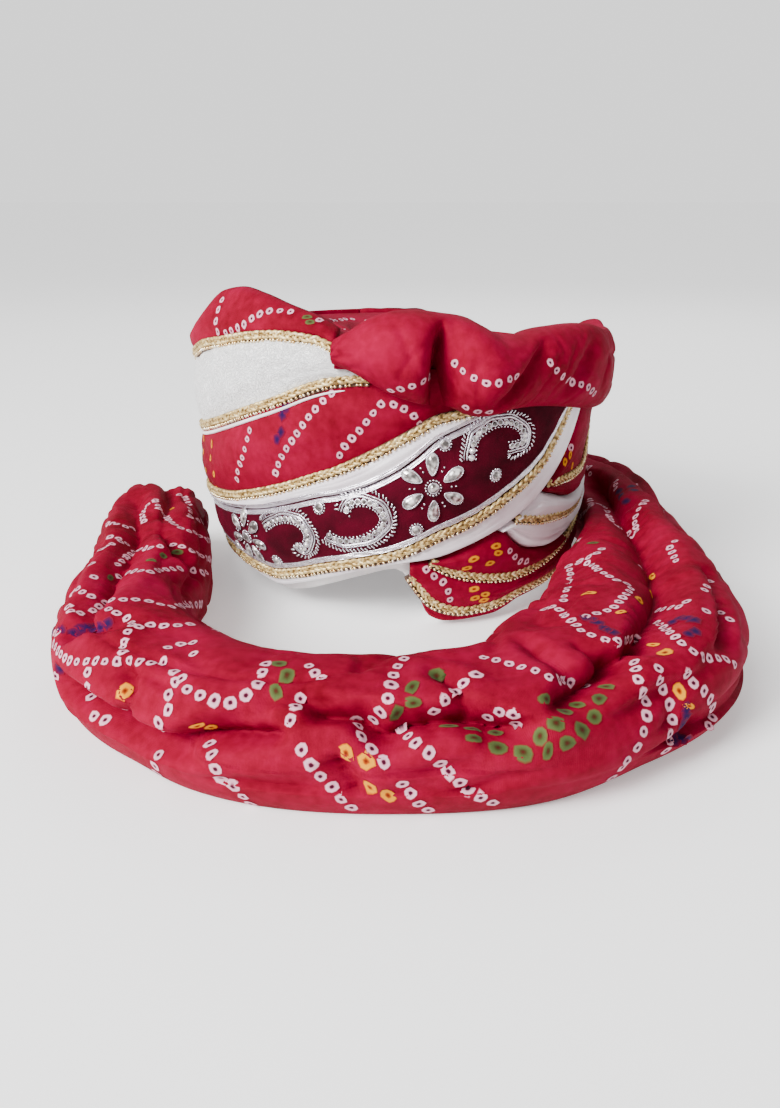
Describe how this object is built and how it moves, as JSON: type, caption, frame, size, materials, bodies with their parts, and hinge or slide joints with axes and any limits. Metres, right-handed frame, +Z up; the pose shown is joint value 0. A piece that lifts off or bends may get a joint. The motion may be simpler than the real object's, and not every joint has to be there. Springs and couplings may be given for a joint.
{
  "type": "tied turban pagri",
  "caption": "Ready-tied red and white wedding turban with an open head hollow, jewelled band, gold braid, puffed crest and a long tail laid round it.",
  "frame": {"origin": "middle of the floor area that the turban and its laid-out tail cover, on the floor", "axes": "-Y the front, over the wearer's forehead; +X the wearer's left, which is the right of the picture; +Z up, out through the crown"},
  "size_m": [0.3675, 0.5091, 0.183],
  "materials": {
    "red_tie_dyed_cloth": "matte cotton with tie-dyed rings",
    "white_satin": "satin",
    "white_brocade": "woven white-on-white pattern",
    "maroon_velvet": "velvet pile",
    "gold_braid": "metallic plaited thread",
    "silver_wire": "bright wire and small stones",
    "clear_stone": "faceted, foil-backed",
    "white_cotton_base": "matte"
  },
  "bodies": {
    "root": {"wound_wall": "white_cotton_base", "satin_rim": "white_satin", "low_trim": "gold_braid", "velvet_band": "maroon_velvet", "satin_fold": "white_satin", "red_trim": "gold_braid", "red_wrap": "red_tie_dyed_cloth", "white_trim": "gold_braid", "brocade_wrap": "white_brocade", "crown_trim": "gold_braid", "crown_wrap": "red_tie_dyed_cloth", "hem_wrap": "red_tie_dyed_cloth", "hem_trim": "gold_braid", "lappet_wrap": "red_tie_dyed_cloth", "lappet_trim": "gold_braid", "spotted_wrap": "red_tie_dyed_cloth", "satin_under": "white_satin", "satin_trim": "gold_braid", "satin_over": "white_satin", "tucked_wrap": "red_tie_dyed_cloth", "top_trim": "gold_braid", "upper_wrap": "red_tie_dyed_cloth", "crown_cover": "red_tie_dyed_cloth", "crest": "red_tie_dyed_cloth", "tail": "red_tie_dyed_cloth", "tail_root": "red_tie_dyed_cloth", "front_flower_heart": "clear_stone", "front_flower_petal_1": "clear_stone", "front_flower_petal_2": "clear_stone", "front_flower_petal_3": "clear_stone", "front_flower_petal_4": "clear_stone", "front_flower_petal_5": "clear_stone", "front_flower_petal_6": "clear_stone", "left_flower_heart": "clear_stone", "left_flower_petal_1": "clear_stone", "left_flower_petal_2": "clear_stone", "left_flower_petal_3": "clear_stone", "left_flower_petal_4": "clear_stone", "left_flower_petal_5": "clear_stone", "left_flower_petal_6": "clear_stone", "left_flower_petal_7": "clear_stone", "round_stone_1": "clear_stone", "round_stone_2": "clear_stone", "round_stone_3": "clear_stone", "round_stone_4": "clear_stone", "round_stone_5": "clear_stone", "round_stone_6": "clear_stone", "scroll_left": "silver_wire", "scroll_middle": "silver_wire", "scroll_right": "silver_wire"}
  },
  "joints": []
}
